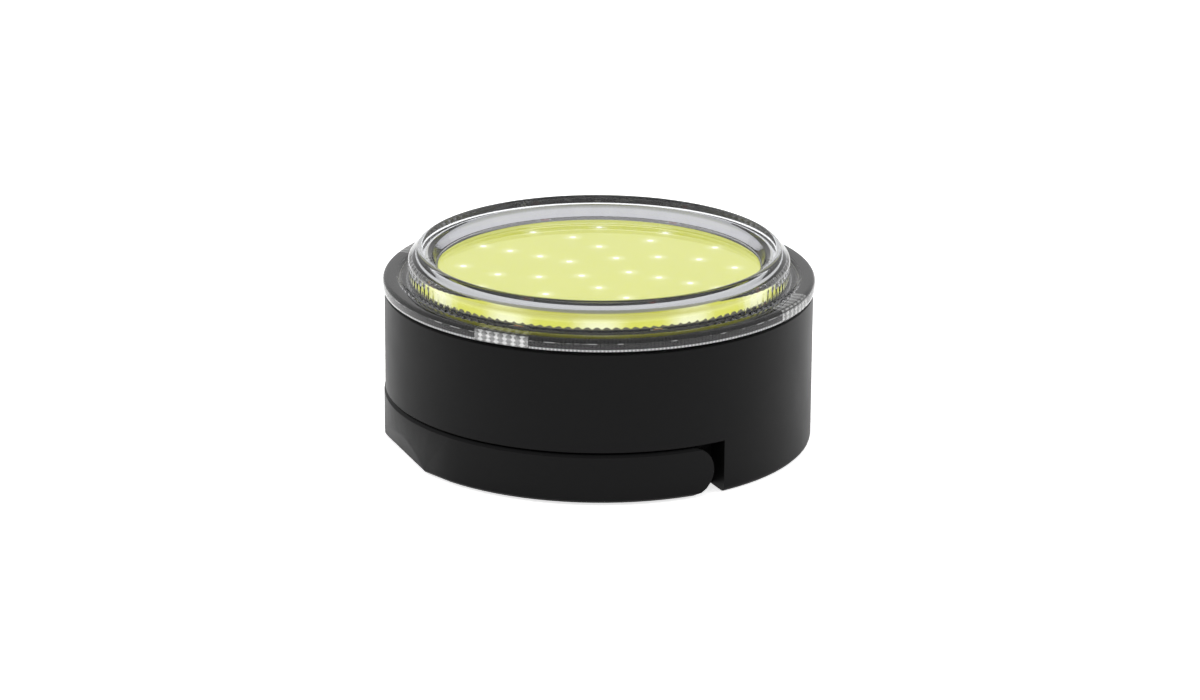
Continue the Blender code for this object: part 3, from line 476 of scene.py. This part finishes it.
def clear_plastic():
    finish = Finish(
        "clear_plastic",
        (0.95, 0.953, 0.965),
        0.01,
        Transmission_Weight=1.0,
        IOR=1.49,
    )
    cloud = finish.noise(140.0, 3.0)
    finish.feed("Roughness", finish.band(cloud, 0.35, 0.75, 0.004, 0.012))
    x, y, z = finish.axes()
    radius = (x * x + y * y) ** 0.5
    crown = finish.band(radius, FACE_HIGH[0] - 0.4 * MM, FACE_HIGH[0] + 0.8 * MM)
    crest = finish.band(z, COVER_HIGH[2] - 2.1 * MM, COVER_HIGH[2] - 1.5 * MM)
    window = finish.mix(cloud, (0.955, 0.958, 0.955), (0.97, 0.972, 0.97))
    thick = finish.mix(cloud, (0.87, 0.875, 0.9), (0.92, 0.925, 0.94))
    thick = finish.mix(crest, thick, (0.58, 0.59, 0.61))
    finish.feed("Base Color", finish.mix(crown, window, thick))
    return finish.material


def glowing_phosphor():
    """A yellow face with a bright point over each chip, on four rings."""
    finish = Finish(
        "glowing_phosphor",
        (0.04, 0.04, 0.0),
        0.45,
        Emission_Strength=1.0,
        Specular_IOR_Level=0.2,
    )
    x, y, _ = finish.axes()
    radius = (x * x + y * y) ** 0.5
    angle = finish.node("ShaderNodeMath", {"operation": "ARCTAN2"}, {0: y, 1: x})
    nearest = None
    for count, ring, first in CHIP_RINGS:
        step = TURN / count
        turned = (angle - math.radians(first) + step / 2 + TURN) % step - step / 2
        along = finish.node("ShaderNodeMath", {"operation": "COSINE"}, {0: turned})
        aside = finish.node("ShaderNodeMath", {"operation": "SINE"}, {0: turned})
        away = radius * along - ring
        across = radius * aside
        distance = (away * away + across * across) ** 0.5
        if nearest is None:
            nearest = distance
        else:
            nearest = finish.node(
                "ShaderNodeMath", {"operation": "MINIMUM"}, {0: nearest, 1: distance}
            )
    core = finish.band(nearest, 0.35 * MM, 0.8 * MM, 1.0, 0.0)
    halo = finish.band(nearest, 0.3 * MM, 3.2 * MM, 1.0, 0.0)
    face = finish.mix(finish.noise(90.0, 2.0), (0.68, 0.72, 0.01), (0.73, 0.77, 0.025))
    face = finish.mix(halo * halo * 0.85, face, (0.95, 0.98, 0.4))
    face = finish.mix(core, face, (1.45, 1.5, 1.3))
    finish.feed("Emission Color", face)
    grain = finish.noise(2500.0, 2.0)
    finish.feed("Normal", finish.bump(grain, 0.1, 0.05 * MM))
    return finish.material


def painted_glow_collar():
    """The collar in the crown, a sheet of painted glow that stands for the light seen there: yellow
    where it faces out over the lamps, pale where it faces in.
    """
    finish = Finish(
        "painted_glow_collar", (0.3, 0.3, 0.3), 0.5, Emission_Strength=1.0, Specular_IOR_Level=0.2
    )
    x, y, z = finish.axes()
    radius = (x * x + y * y) ** 0.5
    angle = finish.node("ShaderNodeMath", {"operation": "ARCTAN2"}, {0: y, 1: x})
    outward = finish.band(radius, COLLAR_MIDDLE - 0.02 * MM, COLLAR_MIDDLE + 0.02 * MM)
    foot = COLLAR_LOW
    count, _, first = CHIP_RINGS[-1]
    step = TURN / count
    turned = abs((angle - math.radians(first) + step / 2 + TURN) % step - step / 2)
    # Painted light: streaks of brighter glow over each chip of the outer ring
    streak = finish.band(turned, math.radians(1.5), math.radians(11.0), 1.0, 0.0)
    # Painted glow: brighter on the lower part of the collar, dimmer above
    low_part = finish.band(z, foot + 0.7 * MM, foot + 2.1 * MM, 1.0, 0.0)
    ribs = finish.node("ShaderNodeMath", {"operation": "COSINE"}, {0: angle * FLUTES})
    # Painted shade: a scalloped dark foot along the bottom of the collar
    teeth = finish.band(z + ribs * 0.12 * MM, foot + 0.22 * MM, foot + 0.34 * MM)
    yellow = finish.mix(low_part, (0.52, 0.52, 0.055), (0.80, 0.82, 0.12))
    yellow = finish.mix(streak * low_part * 0.85, yellow, (1.1, 1.12, 0.75))
    # Painted shade: the top of the collar is darkened
    head = finish.band(z, COLLAR_HIGH - 0.5 * MM, COLLAR_HIGH - 0.3 * MM)
    yellow = finish.mix(head, yellow, (0.2, 0.2, 0.12))
    yellow = finish.mix(teeth, (0.1, 0.1, 0.08), yellow)
    # Painted glow, pale grey, on the inner face
    pale = finish.mix(finish.noise(500.0, 2.0), (0.52, 0.52, 0.56), (0.60, 0.60, 0.64))
    pale = finish.mix(teeth, (0.03, 0.03, 0.035), pale)
    # All of the collar's emission is painted light
    finish.feed("Emission Color", finish.mix(outward, pale, yellow))
    finish.feed("Base Color", finish.mix(outward, (0.25, 0.25, 0.27), (0.1, 0.1, 0.02)))
    return finish.material


def rim_band_black():
    """The dark band in the flange, with fine ribs; its broken line and its beaded foot are painted
    highlights in near-white.
    """
    finish = Finish("rim_band_black", (0.006, 0.006, 0.006), 0.6, Specular_IOR_Level=0.0)
    x, y, z = finish.axes()
    angle = finish.node("ShaderNodeMath", {"operation": "ARCTAN2"}, {0: y, 1: x})
    ribs = finish.node("ShaderNodeMath", {"operation": "COSINE"}, {0: angle * (3 * FLUTES)})
    cloud = finish.noise(260.0, 3.0)
    ribbed = finish.band(ribs + cloud * 2.0, 0.2, 1.8)
    black = finish.mix(ribbed, (0.004, 0.004, 0.004), (0.022, 0.022, 0.022))
    # Painted highlight: a broken bright line across the band
    line = finish.band(abs(z - BAND_LOW - 1.42 * MM), 0.05 * MM, 0.09 * MM, 1.0, 0.0)
    dashes = finish.band(finish.noise(420.0, 1.0), 0.48, 0.6)
    # Painted highlight: bright beads along the band's foot, one to each rib
    foot = finish.band(z, BAND_LOW + 0.3 * MM, BAND_LOW + 0.42 * MM, 1.0, 0.0)
    beads = finish.band(ribs, -0.7, 0.7, 0.5, 1.0)
    # Both painted highlights, laid on the black as near-white colour
    bright = finish.node(
        "ShaderNodeMath", {"operation": "MAXIMUM"}, {0: line * dashes * 0.5, 1: foot * beads}
    )
    finish.feed("Base Color", finish.mix(bright, black, (0.85, 0.85, 0.84)))
    finish.feed("Normal", finish.bump(ribs, 0.15, 0.05 * MM))
    return finish.material


def catch_metal():
    """The bright ribbed faces of the catches that hold the cover down."""
    finish = Finish("catch_facets", (0.6, 0.6, 0.58), 0.25, Metallic=1.0)
    x, y, z = finish.axes()
    angle = finish.node("ShaderNodeMath", {"operation": "ARCTAN2"}, {0: y, 1: x})
    ribs = finish.node("ShaderNodeMath", {"operation": "SINE"}, {0: angle * 150})
    steps = finish.node("ShaderNodeMath", {"operation": "SINE"}, {0: z * (TURN / (0.7 * MM))})
    pattern = finish.band(ribs + steps * 0.6 + finish.noise(700.0, 2.0), -0.3, 1.4)
    finish.feed("Base Color", finish.mix(pattern, (0.2, 0.2, 0.195), (0.5, 0.5, 0.485)))
    finish.feed("Normal", finish.bump(pattern, 0.5, 0.1 * MM))
    return finish.material


def white_board():
    finish = Finish("white_board", (0.78, 0.79, 0.8), 0.35)
    x, y, _ = finish.axes()
    radius = (x * x + y * y) ** 0.5
    ring = finish.band(radius, FACE_HIGH[0] + 0.2 * MM, FACE_HIGH[0] + 0.3 * MM)
    cloud = finish.noise(400.0, 3.0)
    base = finish.mix(cloud, (0.5, 0.51, 0.54), (0.6, 0.61, 0.64))
    finish.feed("Base Color", finish.mix(ring, base, (0.05, 0.05, 0.055)))
    finish.feed("Roughness", finish.band(cloud, 0.3, 0.7, 0.3, 0.45))
    return finish.material


def bright_metal(name, colour, roughness, stretch=(1, 1, 1)):
    finish = Finish(name, colour, roughness, Metallic=1.0)
    lines = finish.scratches(700.0, stretch)
    dark = tuple(0.82 * c for c in colour)
    finish.feed("Base Color", finish.mix(lines, dark, colour))
    finish.feed("Roughness", finish.band(lines, 0.3, 0.7, roughness * 0.8, roughness * 1.3))
    finish.feed("Normal", finish.bump(lines, 0.08, 0.02 * MM))
    return finish.material


def red_lens():
    finish = Finish("red_lens", (0.3, 0.02, 0.015), 0.15)
    cloud = finish.noise(800.0, 2.0)
    finish.feed("Base Color", finish.mix(cloud, (0.2, 0.012, 0.01), (0.36, 0.02, 0.016)))
    return finish.material


def lamp_body():
    finish = Finish("lamp_body", (0.2, 0.2, 0.2), 0.4)
    cloud = finish.noise(1500.0, 2.0)
    finish.feed("Base Color", finish.mix(cloud, (0.16, 0.16, 0.16), (0.22, 0.22, 0.22)))
    return finish.material


def green_board():
    """Green solder mask with straight copper tracks under it and tinned pads."""
    finish = Finish("green_board", (0.01, 0.12, 0.05), 0.3)
    x, y, _ = finish.axes()
    tracks = finish.band(abs(x % (2.2 * MM) - 1.1 * MM), 0.25 * MM, 0.35 * MM, 1.0, 0.0)
    cross = finish.band(abs(y % (5.5 * MM) - 2.7 * MM), 0.25 * MM, 0.35 * MM, 1.0, 0.0)
    blocks = finish.noise(110.0, 0.0) > 0.5
    pattern = tracks * blocks + cross * (1 - blocks)
    base = finish.mix(pattern, (0.008, 0.11, 0.045), (0.02, 0.2, 0.08))
    finish.feed("Base Color", base)
    finish.feed("Normal", finish.bump(pattern, 0.3, 0.05 * MM))
    return finish.material


def cell_wrap():
    """A printed film: dark along the cell, a copper band at the plus end, bare metal ends."""
    finish = Finish("cell_wrap", (0.03, 0.03, 0.035), 0.28, Coat_Weight=0.4)
    x, y, z = finish.axes()
    low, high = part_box("battery_1")
    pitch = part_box("battery_2")[0][0] - low[0]
    axis_height = (low[2] + high[2]) / 2
    middle = (low[1] + high[1]) / 2
    column = (x - (low[0] + high[0]) / 2 + pitch / 2) / pitch
    number = finish.node("ShaderNodeMath", {"operation": "FLOOR"}, {0: column})
    way = 1 - 2 * (number % 2)
    along = y * way
    across = x - (low[0] + high[0]) / 2 - number * pitch
    off_axis = (across * across + (z - axis_height) * (z - axis_height)) ** 0.5
    film = finish.mix(finish.noise(200.0, 2.0), (0.02, 0.022, 0.028), (0.035, 0.037, 0.045))
    copper = finish.mix(finish.noise(500.0, 2.0), (0.55, 0.27, 0.12), (0.62, 0.33, 0.16))
    band = finish.band(along, high[1] - 13.0 * MM, high[1] - 12.8 * MM)
    colour = finish.mix(band, film, copper)
    inside = finish.band(off_axis, 4.55 * MM, 4.65 * MM, 1.0, 0.0)
    ends = finish.band(abs(along - middle), 20.9 * MM, 21.0 * MM)
    bare = inside * ends
    finish.feed("Base Color", finish.mix(bare, colour, (0.66, 0.66, 0.67)))
    metal = finish.node("ShaderNodeMath", {"operation": "MAXIMUM"}, {0: bare, 1: band * 0.8})
    finish.feed("Metallic", metal)
    return finish.material


def wire_skin(name, colour):
    finish = Finish(name, colour, 0.4)
    cloud = finish.noise(700.0, 3.0)
    darker = tuple(0.7 * c for c in colour)
    finish.feed("Base Color", finish.mix(cloud, darker, colour))
    return finish.material


# ---------------------------------------------------------------- pieces


def build_cover(material):
    """The clear cover: rim, moat, hollow crown and sunk window, fluted on its hidden walls."""
    low, top = COVER_LOW[2], COVER_HIGH[2]
    rim = COVER_RADIUS
    flange_low = low + 1.8 * MM
    flange_top = top - 5.2 * MM
    face_low = FACE_HIGH[2] + 0.3 * MM
    window_top = face_low + 1.7 * MM
    board_top = BOARD_HIGH[2]
    crown_out, crown_in = rim - 4.9 * MM, rim - 6.5 * MM
    lip = crown_in - 2.8 * MM
    slope = math.degrees(math.atan2(1.2, 2.8))
    outline = [(0.4 * MM, window_top), (lip - 1.2 * MM, window_top)]
    outline += [(lip - 1.1 * MM, window_top)]
    outline += rounding((lip - 1.0 * MM, window_top + 0.35 * MM), 0.35 * MM, 275, 350, 5)
    outline += rounding((lip + 0.7 * MM, top - 1.9 * MM), 0.7 * MM, 170, 90 + slope, 7)
    outline += rounding((crown_in - 0.5 * MM, top - 0.9 * MM), 0.9 * MM, 90 + slope, 48, 7)
    outline += rounding((crown_out - 1.0 * MM, top - 2.6 * MM), 1.2 * MM, 46, 2, 7)
    outline += [
        (crown_out + 0.12 * MM, flange_top + 0.6 * MM),
        (crown_out - 0.02 * MM, flange_top - 0.2 * MM),
        (crown_out + 0.2 * MM, flange_top - 0.38 * MM),
        (rim - 3.6 * MM, flange_top - 0.4 * MM),
        (rim - 3.3 * MM, flange_top - 0.3 * MM),
        (rim - 2.95 * MM, flange_top - 0.05 * MM),
        (rim - 2.6 * MM, flange_top),
    ]
    outline += rounding((rim - 0.8 * MM, flange_top - 0.8 * MM), 0.8 * MM, 90, 4, 8)
    outline += [
        (rim, flange_low + 0.22 * MM),
        (rim - 0.06 * MM, flange_low + 0.06 * MM),
        (rim - 0.22 * MM, flange_low),
    ]
    fluted_from = len(outline)
    outline += [
        (rim - 2.4 * MM, flange_low),
        (rim - 2.6 * MM, flange_low - 0.1 * MM),
        (rim - 2.6 * MM, low + 0.2 * MM),
        (rim - 2.8 * MM, low),
        (rim - 5.2 * MM, low + 0.02 * MM),
        (rim - 5.2 * MM, (low + board_top) / 2),
        (rim - 5.2 * MM, board_top),
        (crown_out - 1.3 * MM, face_low + 0.2 * MM),
    ]
    fluted_to = len(outline)
    outline += [
        (crown_out - 1.35 * MM, face_low + 1.4 * MM),
        (crown_out - 1.4 * MM, face_low + 2.6 * MM),
        (crown_in - 0.9 * MM, top - 1.95 * MM),
        (lip + 1.25 * MM, top - 1.8 * MM),
        (lip + 0.95 * MM, face_low + 1.6 * MM),
        (lip + 0.75 * MM, face_low + 0.05 * MM),
        (lip + 0.6 * MM, face_low),
        (lip + 0.5 * MM, face_low),
        (0.4 * MM, face_low),
    ]
    steps = 6 * FLUTES
    shape = bmesh.new()
    corners = [shape.verts.new((r, 0, z)) for r, z in outline]
    edges = [shape.edges.new(pair) for pair in zip(corners, corners[1:])]
    edges.append(shape.edges.new((corners[-1], corners[0])))
    fluted = set()
    for r, z in outline[fluted_from:fluted_to]:
        fluted.add((round(r / MM, 2), round(z / MM, 2)))
    bmesh.ops.spin(
        shape,
        geom=corners + edges,
        cent=(0, 0, 0),
        axis=(0, 0, 1),
        angle=TURN,
        steps=steps,
        use_merge=True,
    )
    for vert in shape.verts:
        r = math.hypot(vert.co.x, vert.co.y)
        if (round(r / MM, 2), round(vert.co.z / MM, 2)) in fluted:
            angle = math.atan2(vert.co.y, vert.co.x)
            wave = 0.06 * MM * math.cos(FLUTES * angle)
            vert.co.x *= (r + wave) / r
            vert.co.y *= (r + wave) / r
    for level in (window_top, face_low):
        ring = [
            v
            for v in shape.verts
            if math.hypot(v.co.x, v.co.y) < 0.6 * MM and abs(v.co.z - level) < 0.1 * MM
        ]
        bmesh.ops.pointmerge(shape, verts=ring, merge_co=(0, 0, level))
    bmesh.ops.recalc_face_normals(shape, faces=shape.faces)
    return place_mesh(
        "fluted_cover", shape, material, "lamp", ["clear_cover"], 50.0
    )


def spin_arc(outline, start, sweep, steps):
    """A closed outline spun through part of a turn, with both ends capped."""
    shape = bmesh.new()
    turn = Matrix.Rotation(math.radians(start), 4, "Z")
    corners = [shape.verts.new(turn @ Vector((r, 0, z))) for r, z in outline]
    cap = shape.faces.new(corners)
    copied = bmesh.ops.duplicate(shape, geom=[cap, *cap.edges, *cap.verts])["geom"]
    bmesh.ops.spin(
        shape,
        geom=[piece for piece in copied if not isinstance(piece, bmesh.types.BMVert)],
        cent=(0, 0, 0),
        axis=(0, 0, 1),
        angle=math.radians(sweep),
        steps=steps,
    )
    bmesh.ops.remove_doubles(shape, verts=shape.verts, dist=WELD)
    bmesh.ops.recalc_face_normals(shape, faces=shape.faces)
    return shape


def build_rim_band(black, metal):
    """A dark band in the groove under the cover's flange, broken by four bright catches."""
    low, high = BAND_LOW, COVER_HIGH[2] - 5.5 * MM
    outer, inner = COVER_RADIUS - 0.25 * MM, COVER_RADIUS - 2.5 * MM
    outline = [(inner, low), (outer, low), (outer, high - 0.2 * MM)]
    outline += [(outer - 0.2 * MM, high), (inner, high)]
    for number, middle in enumerate(CATCHES, 1):
        start = middle + CATCH_WIDTH / 2
        band = spin_arc(outline, start, 90.0 - CATCH_WIDTH, 96)
        place_mesh(f"rim_band_{number}", band, black, "lamp", [])
        inset = [(r - 0.1 * MM if r > inner else r, z) for r, z in outline]
        catch = spin_arc(inset, middle - CATCH_WIDTH / 2 + 0.3, CATCH_WIDTH - 0.6, 24)
        place_mesh(f"cover_catch_{number}", catch, metal, "lamp", [])


def build_collar(material):
    """A thin ring standing in the hollow crown, over the lamps, which carries painted glow."""
    half = 0.1 * MM
    outline = [
        (COLLAR_MIDDLE - half, COLLAR_LOW),
        (COLLAR_MIDDLE + half, COLLAR_LOW),
        (COLLAR_MIDDLE + half + 0.1 * MM, COLLAR_HIGH),
        (COLLAR_MIDDLE - half + 0.1 * MM, COLLAR_HIGH),
    ]
    shape = spin_profile(outline, 240)
    place_mesh("light_collar", shape, material, "lamp", [])


def build_dam(material):
    """The dark dam round the phosphor, which keeps its light off the lamps."""
    low, high = BOARD_HIGH[2] + 0.05 * MM, FACE_HIGH[2] + 0.1 * MM
    inner, outer = FACE_HIGH[0] + 0.15 * MM, FACE_HIGH[0] + 0.5 * MM
    outline = [(inner, low), (outer, low), (outer, high - 0.1 * MM)]
    outline += [(outer - 0.1 * MM, high), (inner, high)]
    shape = spin_profile(outline, 240)
    place_mesh("phosphor_dam", shape, material, "lamp", [])


def build_face(material):
    """The phosphor face, a thin disc with a rounded rim."""
    radius, low, high = FACE_HIGH[0], FACE_LOW[2], FACE_HIGH[2]
    edge = 0.3 * MM
    outline = [(0.0, high), (radius * 0.5, high)]
    outline += rounding((radius - edge, high - edge), edge, 90, 0, 5)
    outline += [(radius, low), (radius * 0.5, low), (0.0, low)]
    shape = spin_profile(outline, 192, closed=False)
    bmesh.ops.remove_doubles(shape, verts=shape.verts, dist=WELD)
    bmesh.ops.recalc_face_normals(shape, faces=shape.faces)
    place_mesh("glowing_face", shape, material, "lamp", ["phosphor_face"])


def build_red_lamps(case, lens):
    """Small surface-mounted lamps: a pale case with a red lens let into its top."""
    for number in range(1, RED_LAMPS + 1):
        node = f"red_lamp_{number}"
        low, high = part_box(node)
        angle = math.radians(RED_LAMP_ANGLE) + (number - 1) * TURN / RED_LAMPS
        middle = Vector(((low[0] + high[0]) / 2, (low[1] + high[1]) / 2, low[2]))
        height = high[2] - low[2]
        turn = Matrix.Translation(middle) @ Matrix.Rotation(angle, 4, "Z")
        shape = bmesh.new()
        bmesh.ops.create_cube(shape, size=1.0)
        bmesh.ops.scale(shape, vec=(2.4 * MM, 2.8 * MM, height * 0.82), verts=shape.verts)
        bmesh.ops.translate(shape, vec=(0, 0, height * 0.41), verts=shape.verts)
        bmesh.ops.bevel(
            shape,
            geom=shape.edges[:],
            offset=0.12 * MM,
            segments=2,
            profile=0.5,
            affect="EDGES",
            material=-1,
        )
        bmesh.ops.transform(shape, matrix=turn, verts=shape.verts)
        place_mesh(f"{node}_case", shape, case, "lamp", [node])
        dome = bmesh.new()
        bmesh.ops.create_cone(
            dome,
            cap_ends=True,
            segments=32,
            radius1=1.0 * MM,
            radius2=0.8 * MM,
            depth=height * 0.3,
        )
        bmesh.ops.translate(dome, vec=(0, 0, height * 0.85), verts=dome.verts)
        bmesh.ops.transform(dome, matrix=turn, verts=dome.verts)
        place_mesh(f"{node}_lens", dome, lens, "lamp", [])


def build_all():
    black = matte_black()
    inner = inner_black()
    rubber = button_rubber()
    steel = bright_metal("zinc_steel", (0.6, 0.6, 0.62), 0.32)
    nickel = bright_metal("bright_nickel", (0.72, 0.7, 0.66), 0.2)
    wrap = cell_wrap()
    dress("housing", black, 0.18 * MM)
    build_bail(black)
    build_door(black)
    build_button(rubber)
    build_cover(clear_plastic())
    # The rim band carries painted highlights: a broken line and a beaded foot
    build_rim_band(rim_band_black(), catch_metal())
    # The collar carries painted glow
    build_collar(painted_glow_collar())
    build_dam(rubber)
    build_face(glowing_phosphor())
    build_red_lamps(lamp_body(), red_lens())
    dress("lamp_board", white_board(), 0.1 * MM)
    dress("lamp_carrier", inner, 0.15 * MM)
    dress("cover_seal", rubber)
    dress("battery_tray", inner, 0.15 * MM)
    for number in (1, 2, 3):
        dress(f"battery_{number}", wrap, 0.15 * MM)
        dress(f"minus_spring_{number}", steel, angle=60)
        dress(f"plus_contact_{number}", nickel, 0.1 * MM)
        dress(f"carrier_screw_{number}", steel, 0.1 * MM)
    for number in (1, 2, 3, 4):
        dress(f"magnet_{number}", nickel, 0.25 * MM)
    dress("control_board", green_board())
    dress("driver_chip", inner, 0.1 * MM)
    dress("button_switch", inner, 0.15 * MM)
    dress("power_coil", inner, 0.3 * MM)
    red = wire_skin("red_wire", (0.5, 0.02, 0.02))
    dark = wire_skin("black_wire", (0.03, 0.03, 0.03))
    for lead in ("lamp_wire", "battery_wire"):
        dress(f"{lead}_plus", red)
        dress(f"{lead}_minus", dark)


add_camera()
light_the_scene()
add_floor()
build_all()
